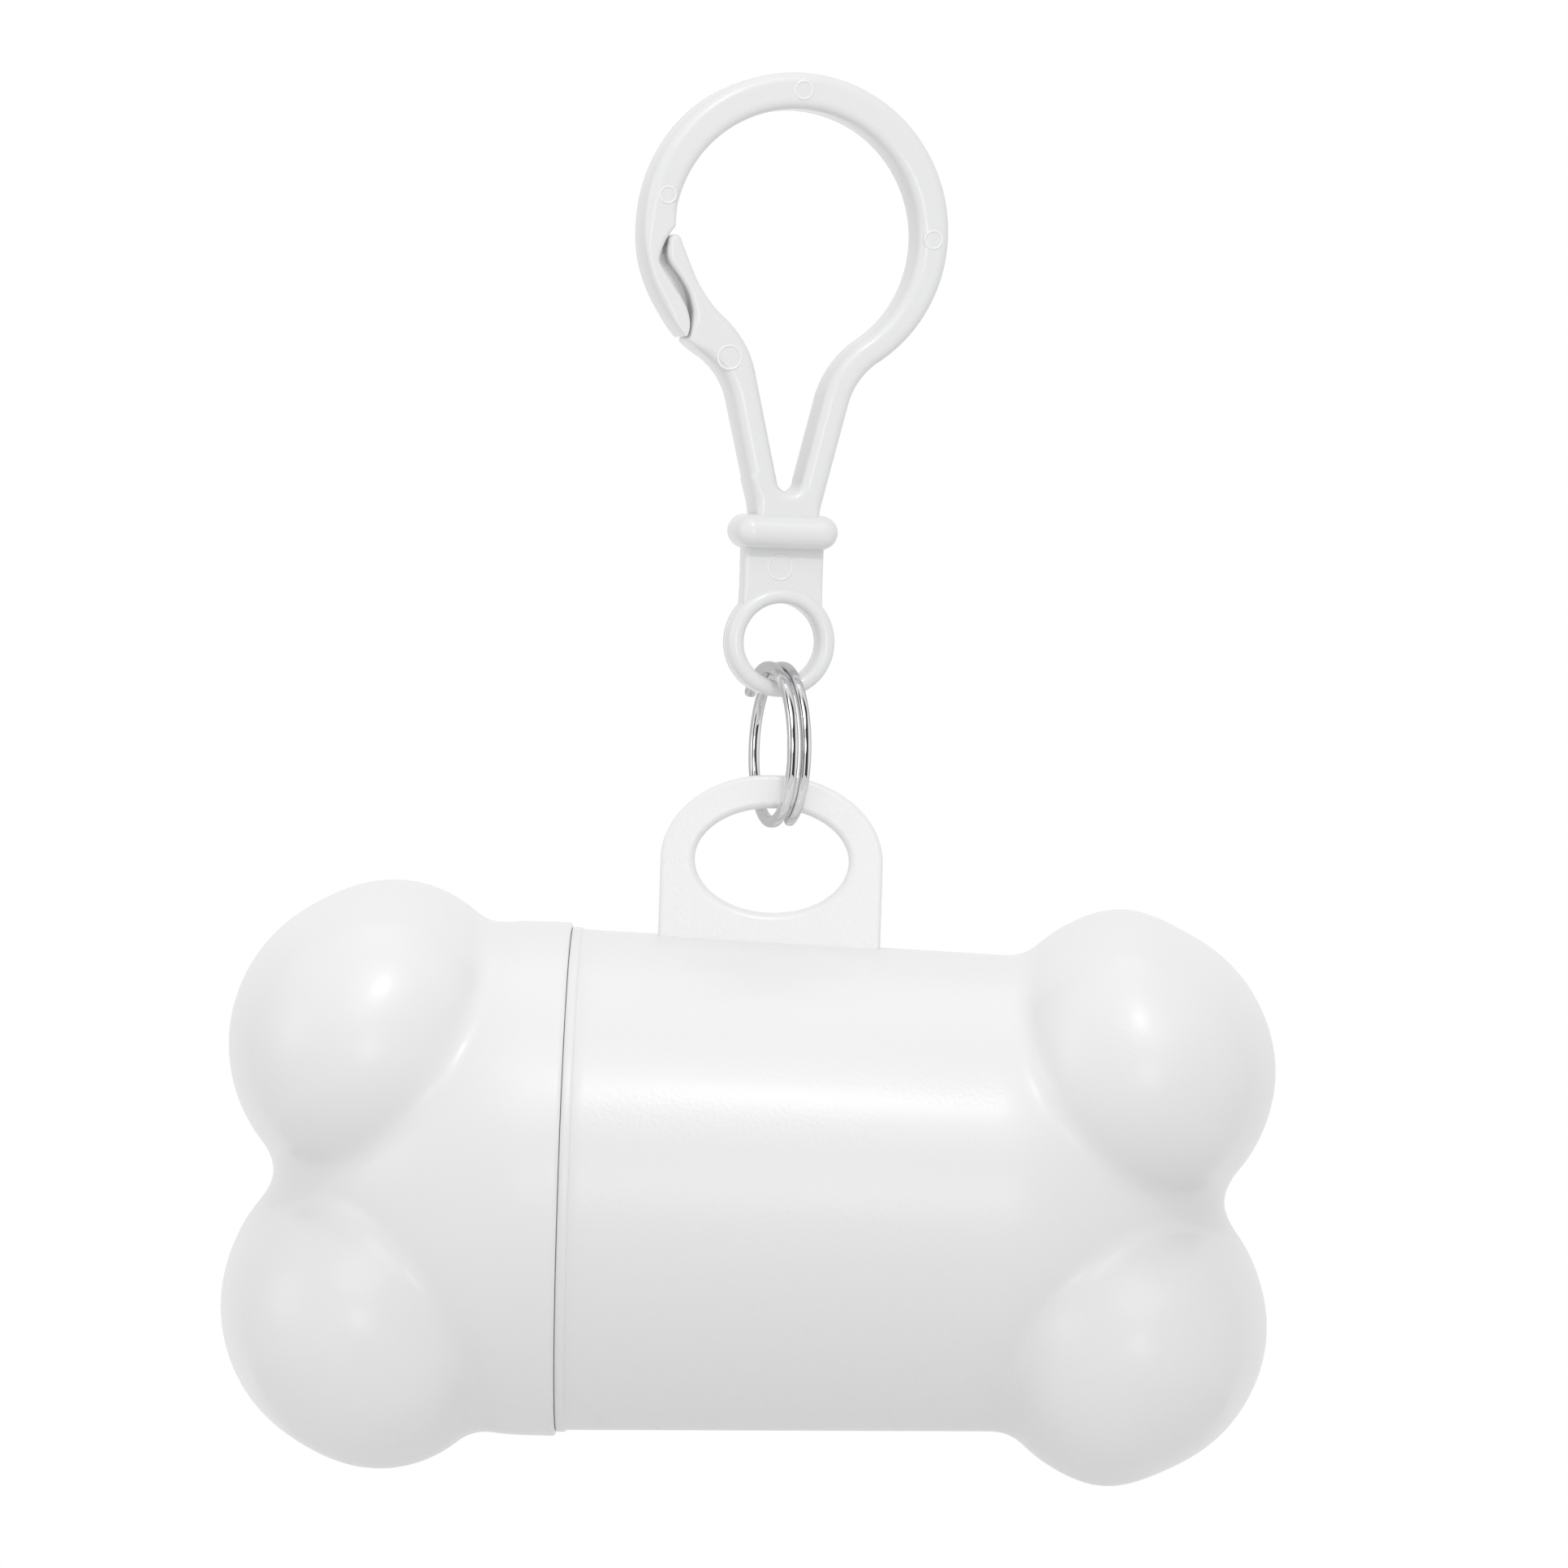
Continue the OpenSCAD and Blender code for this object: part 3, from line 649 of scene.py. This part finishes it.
def eye_grid(centre_z, r_out, bar, thick):
    """Ring with a long rounded section, turned about the line from front to back."""
    a = np.linspace(0, TURN, 120, endpoint=False)
    v = np.linspace(0, TURN, 32, endpoint=False)
    flat = thick / 2 - bar / 2
    r = r_out - bar / 2 + bar / 2 * np.cos(v)
    y = bar / 2 * np.sin(v) + flat * np.sign(np.round(np.sin(v), 9))
    points = np.stack([r[None] * np.cos(a)[:, None], np.broadcast_to(y[None], (len(a), len(v))),
                       r[None] * np.sin(a)[:, None] + centre_z], axis=-1)
    return points.reshape(-1, 3), strip_faces(len(a), len(v), wrap_rows=True).tolist()


def collar_grid():
    """Bar across the stem: a stadium section turned to round ends at left and right."""
    h = hook_sizes()
    outline = np.concatenate([
        arc([h.collar_w / 2 - h.collar_h / 2, 0], h.collar_h / 2, -90, 90, 3),
        arc([h.collar_h / 2 - h.collar_w / 2, 0], h.collar_h / 2, 90, 270, 3)])
    points, faces = rounded_plate(outline, h.collar_d, h.collar_h / 2, 0.96)
    return points + np.array([0, 0, -h.collar_drop - h.collar_h / 2]), faces


def frame_grids():
    """Plate of loop, nose and legs, with the collar, the set-back stem and the eye."""
    h, k = hook_sizes(), HookLines()
    plate = rounded_plate(k.frame_outline(), h.thick, h.edge)
    low = -h.collar_drop - h.collar_h / 2
    side, reach = h.stem_w / 2, h.eye_r - h.eye_bar / 2
    foot = math.degrees(math.acos(side / reach))
    stem = rounded_plate(np.concatenate([
        [[-side, low]], arc([0, -h.eye_drop], reach, 180 - foot, foot), [[side, low]]]), h.stem_t, 0.3)
    return [plate, collar_grid(), stem, eye_grid(-h.eye_drop, h.eye_r, h.eye_bar, h.eye_t)]


def gate_grid():
    """The springy arm: up the left leg, round the shoulder and in behind the nose."""
    h = hook_sizes()
    return rounded_plate(HookLines().gate_outline(), h.thick - 0.01, h.edge)


# Ejector marks: across and up from the loop's middle, and radius, in millimetres
HOOK_MARKS = [(-10.97, 2.37, 0.66), (0.1, 11.35, 0.73), (11.4, -0.36, 0.72)]
STEM_MARK = (-0.38, -27.5, 1.0)
GATE_MARK = (-5.4, -10.6, 0.96)


def mark_grid(x, z, r, y, bar=0.13):
    """Fine raised rim round an ejector pin's mark, a small ring on the front face."""
    a = np.linspace(0, TURN, 40, endpoint=False)
    v = np.linspace(0, TURN, 10, endpoint=False)
    out = r + bar * np.cos(v)
    points = np.stack([x + out[None] * np.cos(a)[:, None],
                       np.broadcast_to(y + bar / 2 - bar * np.sin(v)[None], (len(a), len(v))),
                       z + out[None] * np.sin(a)[:, None]], axis=-1)
    return points.reshape(-1, 3), strip_faces(len(a), len(v), wrap_rows=True).tolist()


def marks_piece(name, marks, material, body):
    """Rims of the ejector marks on one body."""
    grids = [(on_hook(p), q) for p, q in (mark_grid(*m) for m in marks)]
    piece = make_piece(name, grids, material, 60.0, FINE_WELD)
    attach(piece, body)


# ---------------------------------------------------------------- ring and roll

def ring_grid():
    """Helix of the given pitch with a rounded section, closed by flat faces at its two cut ends."""
    r = ring_sizes()
    n = 420  # sections along the wire
    t = np.linspace(0, 1, n)
    a = np.radians(r.start + r.wind * t)
    shift = r.pitch * r.wind / 360 * (0.5 - t)
    v = np.arange(20) * TURN / 20
    cx = np.sign(np.cos(v)) * np.abs(np.cos(v)) ** 0.7 * r.wire_r / 2
    cy = np.sign(np.sin(v)) * np.abs(np.sin(v)) ** 0.7 * r.wire_a / 2
    radius = r.outer_d / 2 - r.wire_r / 2 + cx[None]
    points = np.stack([shift[:, None] + cy[None], -radius * np.cos(a)[:, None],
                       radius * np.sin(a)[:, None]], axis=-1)
    yaw = math.radians(r.yaw)
    turn = np.array([[math.cos(yaw), -math.sin(yaw), 0], [math.sin(yaw), math.cos(yaw), 0], [0, 0, 1]])
    points = points.reshape(-1, 3) @ turn.T + np.array([0, 0, RING_MID[2]])
    m = len(v)
    c = list(range(m))
    faces = strip_faces(n, m).tolist() + [c, [(n - 1) * m + i for i in c]]
    return points * MM, faces


def roll_grid(r_out, r_in, x0, x1, axis_z, turns):
    """Roll of film: outer and inner walls with softly stepped end faces."""
    a = np.linspace(0, TURN, 160, endpoint=False)
    steps = np.linspace(r_out, r_in, turns)
    ripple = 0.12 * np.sin(np.arange(turns) * 2.4) + 0.08 * np.sin(np.arange(turns) * 5.1)
    profile = [(x0 + 0.4 + ripple[i], steps[i]) for i in range(turns)][::-1]
    profile += [(x0 + 0.8, r_out)] + [(x0 + (x1 - x0) * f, r_out) for f in np.linspace(0.05, 0.95, 12)]
    profile += [(x1 - 0.8, r_out)] + [(x1 - 0.4 - ripple[i], steps[i]) for i in range(turns)]
    x, r = np.array(profile).T
    points = np.stack([np.broadcast_to(x[:, None], (len(x), len(a))), r[:, None] * np.cos(a)[None],
                       r[:, None] * np.sin(a)[None] + axis_z], axis=-1)
    return points.reshape(-1, 3) * MM, strip_faces(len(x), len(a), wrap_rows=True)


# ---------------------------------------------------------------- materials

def grain_group():
    """Fine orange-peel height of moulded plastic, from two noises on object coordinates."""
    tree = bpy.data.node_groups.new("moulded_grain", "ShaderNodeTree")
    tree.interface.new_socket("Fine scale", in_out="INPUT", socket_type="NodeSocketFloat")
    tree.interface.new_socket("Wave scale", in_out="INPUT", socket_type="NodeSocketFloat")
    tree.interface.new_socket("Height", in_out="OUTPUT", socket_type="NodeSocketFloat")
    ends = tree.nodes.new("NodeGroupInput"), tree.nodes.new("NodeGroupOutput")
    place = tree.nodes.new("ShaderNodeTexCoord")
    fine, wave = tree.nodes.new("ShaderNodeTexNoise"), tree.nodes.new("ShaderNodeTexNoise")
    fine.inputs["Detail"].default_value = 3.0
    wave.inputs["Detail"].default_value = 1.0
    mix = tree.nodes.new("ShaderNodeMath")
    mix.operation = "MULTIPLY_ADD"
    mix.inputs[1].default_value = 0.35
    link = tree.links.new
    link(place.outputs["Object"], fine.inputs["Vector"])
    link(place.outputs["Object"], wave.inputs["Vector"])
    link(ends[0].outputs["Fine scale"], fine.inputs["Scale"])
    link(ends[0].outputs["Wave scale"], wave.inputs["Scale"])
    link(wave.outputs["Fac"], mix.inputs[0])
    link(fine.outputs["Fac"], mix.inputs[2])
    link(mix.outputs["Value"], ends[1].inputs["Height"])
    return tree


def plain_material(name, colour, roughness, specular=0.5):
    material = bpy.data.materials.new(name)
    material.use_nodes = True
    shader = material.node_tree.nodes["Principled BSDF"]
    shader.inputs["Base Color"].default_value = (*colour, 1)
    shader.inputs["Roughness"].default_value = roughness
    shader.inputs["Specular IOR Level"].default_value = specular
    return material


def add_grain(material, fine, wave, depth_mm, strength):
    """Feeds the grain's height through a Bump into the shader's normal."""
    tree = material.node_tree
    shader = tree.nodes["Principled BSDF"]
    grain = tree.nodes.new("ShaderNodeGroup")
    grain.node_tree = bpy.data.node_groups.get("moulded_grain") or grain_group()
    grain.inputs["Fine scale"].default_value = fine
    grain.inputs["Wave scale"].default_value = wave
    bump = tree.nodes.new("ShaderNodeBump")
    bump.inputs["Strength"].default_value = strength
    bump.inputs["Distance"].default_value = depth_mm * MM
    tree.links.new(grain.outputs["Height"], bump.inputs["Height"])
    tree.links.new(bump.outputs["Normal"], shader.inputs["Normal"])
    return shader


def holder_material():
    m = plain_material("holder_white_plastic", colours().holder, 0.28)
    add_grain(m, 2600.0, 500.0, 0.05, 0.5)
    return m


def cap_material():
    m = plain_material("cap_white_plastic", colours().cap, 0.27)
    add_grain(m, 1500.0, 250.0, 0.03, 0.25)
    return m


def hook_material(name="hook_white_plastic", gain=1.0):
    # A gain above 1 gives a lighter copy of the hook plastic; the marks' rims use it as a painted
    # highlight.
    m = plain_material(name, [min(1.0, gain * c) for c in colours().hook], 0.14)
    add_grain(m, 1200.0, 300.0, 0.01, 0.03)
    return m


def metal_material():
    m = plain_material("nickel_plated_wire", colours().metal, 0.0)
    shader = add_grain(m, 900.0, 200.0, 0.01, 0.04)
    shader.inputs["Metallic"].default_value = 1.0
    return m


def film_material():
    m = plain_material("black_bag_film", colours().film, 0.34)
    add_grain(m, 500.0, 120.0, 0.25, 0.7)
    return m


def board_material():
    m = plain_material("core_board", colours().board, 0.85, 0.2)
    add_grain(m, 2500.0, 300.0, 0.05, 0.5)
    return m


# ---------------------------------------------------------------- operators

class DISPENSER_OT_holder(bpy.types.Operator):
    """Builds the two holder shells as one skin with the bag slot cut in the back"""
    bl_idname = "dispenser.holder"
    bl_label = "Holder"

    def execute(self, context):
        piece = make_piece("holder_body", [holder_half(True), holder_half(False)], holder_material())
        cut_away(piece, slot_cutter())
        shade(piece.data, 35.0)
        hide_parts("holder_front_shell", "holder_back_shell")
        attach(piece, "holder")
        tab = make_piece("holder_tab", [tab_grid()], piece.data.materials[0], 35.0)
        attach(tab, "holder")
        return {"FINISHED"}


class DISPENSER_OT_cap(bpy.types.Operator):
    """Builds the cap with its two lobes and its bore"""
    bl_idname = "dispenser.cap"
    bl_label = "Cap"

    def execute(self, context):
        piece = make_piece("cap_body", [cap_half(True), cap_half(False)], cap_material())
        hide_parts("cap_front_shell", "cap_back_shell")
        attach(piece, "cap")
        return {"FINISHED"}


class DISPENSER_OT_hook(bpy.types.Operator):
    """Builds the hook's loop, collar, stem and eye, and its springy gate"""
    bl_idname = "dispenser.hook"
    bl_label = "Hook and gate"

    def execute(self, context):
        material = hook_material()
        piece = make_piece("hook_body", [(on_hook(p), q) for p, q in frame_grids()],
                           material, 40.0, FINE_WELD)
        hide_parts("hook_frame")
        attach(piece, "hook")
        points, faces = gate_grid()
        gate = make_piece("hook_gate", [(on_hook(points), faces)], material, 40.0, FINE_WELD)
        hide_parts("gate_arm")
        h = hook_sizes()
        # The ejector marks' rims get the hook plastic made 7% lighter: a painted highlight on the rims.
        front, rims = -h.thick / 2, hook_material("hook_rim_painted_highlight", 1.07)
        marks_piece("hook_marks", [(*mark, front) for mark in HOOK_MARKS]
                    + [(*STEM_MARK, -h.stem_t / 2)], rims, "hook")
        marks_piece("gate_marks", [(*GATE_MARK, front + 0.005)], rims, "gate")
        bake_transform(gate)
        return {"FINISHED"}


class DISPENSER_OT_ring(bpy.types.Operator):
    """Winds the split ring"""
    bl_idname = "dispenser.ring"
    bl_label = "Split ring"

    def execute(self, context):
        piece = make_piece("ring_coil", [ring_grid()], metal_material(), 50.0, FINE_WELD)
        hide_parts("split_ring")
        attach(piece, "ring")
        return {"FINISHED"}


class DISPENSER_OT_roll(bpy.types.Operator):
    """Lays the roll of bags on its core"""
    bl_idname = "dispenser.roll"
    bl_label = "Bag roll and core"

    def execute(self, context):
        axis_z = (ROLL_LOW[2] + ROLL_HIGH[2]) / 2
        r_out = (ROLL_HIGH[2] - ROLL_LOW[2]) / 2
        core_low, core_high = node_box_mm("roll_core")
        core_r = (core_high[2] - core_low[2]) / 2
        parts = [
            ("roll_film", "bag_roll", r_out, core_r, ROLL_LOW[0], ROLL_HIGH[0], 14,
             film_material(), "bag_film"),
            ("core_tube", "roll_core", core_r - 0.02, core_r - 0.9, core_low[0] - 0.2, core_high[0] + 0.2,
             3, board_material(), "core_card")]
        for name, node, r0, r1, x0, x1, turns, material, slot in parts:
            points, faces = roll_grid(r0, r1, x0, x1, axis_z, turns)
            piece = make_piece(name, [(points, faces)], material, 30.0, FINE_WELD)
            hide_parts(node)
            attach(piece, "roll")
        return {"FINISHED"}


class DISPENSER_OT_stage(bpy.types.Operator):
    """Lays the pale floor, the white surroundings, the lamps and the camera"""
    bl_idname = "dispenser.stage"
    bl_label = "Stage"

    def execute(self, context):
        lay_floor()
        lay_world()
        lay_lamps()
        lay_camera()
        return {"FINISHED"}


def lay_floor():
    """Flat round sheet under the bone, small enough to stay under the camera's view."""
    r, floor_z = np.array([0.02, 0.05, 0.08, 0.11]), -0.14
    a = np.linspace(0, TURN, 64, endpoint=False)
    points = np.stack([r[:, None] * np.cos(a)[None], r[:, None] * np.sin(a)[None],
                       np.full((len(r), len(a)), floor_z)], axis=-1)
    mesh = bpy.data.meshes.new("floor_sheet")
    mesh.from_pydata(points.reshape(-1, 3).tolist(), [],
                     strip_faces(len(r), len(a)).tolist() + [list(range(len(a)))])
    mesh.materials.append(plain_material("floor_white", colours().floor, 0.9, 0.0))
    floor = bpy.data.objects.new("floor_sheet", mesh)
    bpy.context.scene.collection.objects.link(floor)


def between(tree, source, low, high, at_low, at_high):
    """A value that goes straight from one level to the other between two marks."""
    step = tree.nodes.new("ShaderNodeMapRange")
    for key, value in (("From Min", low), ("From Max", high), ("To Min", at_low), ("To Max", at_high)):
        step.inputs[key].default_value = value
    tree.links.new(source, step.inputs["Value"])
    return step.outputs["Result"]


def joined(tree, kind, *values):
    """The values put together two by two with one kind of Math node."""
    total = values[0]
    for value in values[1:]:
        node = tree.nodes.new("ShaderNodeMath")
        node.operation = kind
        tree.links.new(total, node.inputs[0])
        tree.links.new(value, node.inputs[1])
        total = node.outputs["Value"]
    return total


def mirror_view(tree, mirrored):
    """One, but low where a mirror looks back past the camera a little to the left or right,
    and half where it looks away from the camera: the dark room round the white backdrop."""
    place, parts = tree.nodes.new("ShaderNodeTexCoord"), tree.nodes.new("ShaderNodeSeparateXYZ")
    aside = tree.nodes.new("ShaderNodeMath")
    aside.operation = "ABSOLUTE"
    tree.links.new(place.outputs["Generated"], parts.inputs["Vector"])
    tree.links.new(parts.outputs["X"], aside.inputs[0])
    bands = joined(tree, "MULTIPLY",
                   between(tree, aside.outputs["Value"], 0.2, 0.28, 0.0, 0.95),
                   between(tree, aside.outputs["Value"], 0.66, 0.76, 1.0, 0.0),
                   between(tree, parts.outputs["Y"], -0.3, -0.1, 1.0, 0.0))
    dim = joined(tree, "MAXIMUM", bands, between(tree, parts.outputs["Y"], -0.1, 0.3, 0.0, 0.38))
    return between(tree, joined(tree, "MULTIPLY", dim, mirrored), 0.0, 1.0, 1.0, 0.0)


def lay_world():
    """White where the camera sees it straight, through gloss or glass, softer as a light."""
    world = bpy.data.worlds.new("white_surroundings")
    bpy.context.scene.world = world
    world.use_nodes = True
    tree = world.node_tree
    back = tree.nodes["Background"]
    back.inputs["Color"].default_value = (1, 1, 1, 1)
    rays_seen = tree.nodes.new("ShaderNodeLightPath")
    seen = joined(tree, "MAXIMUM", *(rays_seen.outputs[kind] for kind in (
        "Is Camera Ray", "Is Glossy Ray", "Is Transmission Ray")))
    strength = joined(tree, "MULTIPLY", between(tree, seen, 0.0, 1.0, 0.74, 1.0),
                      mirror_view(tree, rays_seen.outputs["Is Singular Ray"]))
    tree.links.new(strength, back.inputs["Strength"])


def place_lamp(name, data, place, aim):
    lamp = bpy.data.objects.new(name, data)
    lamp.location = place
    lamp.rotation_euler = (Vector(aim) - Vector(place)).to_track_quat("-Z", "Y").to_euler()
    bpy.context.scene.collection.objects.link(lamp)


def lay_lamps():
    """Four broad lamps, and a small one whose beam ends half way down the bone."""
    for name, place, size, power in (
            ("key_lamp", (0.06, -0.62, 0.55), 0.7, 1.25),
            ("top_lamp", (0.0, 0.15, 0.75), 0.5, 0.2),
            ("front_lamp", (0.1, -0.8, -0.05), 0.3, 0.45),
            ("side_lamp", (-0.8, -0.3, 0.1), 0.5, 0.5)):
        data = bpy.data.lights.new(name, "AREA")
        data.shape, data.size, data.energy = "DISK", size, power
        place_lamp(name, data, place, (0.0, 0.0, -0.06))
    data = bpy.data.lights.new("beam_lamp", "SPOT")
    data.energy, data.shadow_soft_size = 1.0, 0.012
    data.spot_size, data.spot_blend = math.radians(40), 0.07
    place, tilt = Vector((0.0275, -0.295, 0.209)), math.radians(26.7)
    place_lamp("beam_lamp", data, place, place + Vector((-0.07, math.cos(tilt), -math.sin(tilt))))


def lay_camera():
    """Camera a little over the level, turned so that the object's upright leans right."""
    data = bpy.data.cameras.new("camera")
    data.sensor_width = 36.0
    distance, width = 0.65, 0.1282
    data.lens = 36.0 * distance / width
    data.clip_start = 0.05
    camera = bpy.data.objects.new("camera", data)
    aim, lift = Vector((0.0008, 0.0, -0.055)), math.radians(1.5)
    place = aim + distance * Vector((0, -math.cos(lift), math.sin(lift)))
    camera.matrix_world = (Matrix.Translation(place)
                           @ (aim - place).to_track_quat("-Z", "Y").to_matrix().to_4x4()
                           @ Matrix.Rotation(math.radians(1.87), 4, "Z"))
    bpy.context.scene.collection.objects.link(camera)
    bpy.context.scene.camera = camera
    bpy.context.scene.view_settings.view_transform = "Standard"


class DISPENSER_PT_panel(bpy.types.Panel):
    """Lists the builders in the sidebar"""
    bl_idname = "DISPENSER_PT_panel"
    bl_label = "Bag dispenser"
    bl_space_type = "VIEW_3D"
    bl_region_type = "UI"
    bl_category = "Dispenser"

    def draw(self, context):
        for operator in OPERATORS:
            self.layout.operator(operator.bl_idname)


OPERATORS = (DISPENSER_OT_holder, DISPENSER_OT_cap, DISPENSER_OT_hook, DISPENSER_OT_ring,
             DISPENSER_OT_roll, DISPENSER_OT_stage)
GROUPS = {"bone_sizes": BoneSizes, "hook_sizes": HookSizes, "ring_sizes": RingSizes,
          "dispenser_colours": Colours}


def register():
    for kind in (*GROUPS.values(), *OPERATORS, DISPENSER_PT_panel):
        bpy.utils.register_class(kind)
    for name, group in GROUPS.items():
        setattr(bpy.types.Scene, name, bpy.props.PointerProperty(type=group))


def unregister():
    for name in GROUPS:
        delattr(bpy.types.Scene, name)
    for kind in reversed((*GROUPS.values(), *OPERATORS, DISPENSER_PT_panel)):
        bpy.utils.unregister_class(kind)


def main():
    register()
    bpy.ops.dispenser.holder()
    bpy.ops.dispenser.cap()
    bpy.ops.dispenser.hook()
    bpy.ops.dispenser.ring()
    bpy.ops.dispenser.roll()
    bpy.ops.dispenser.stage()


if __name__ == "__main__":
    main()
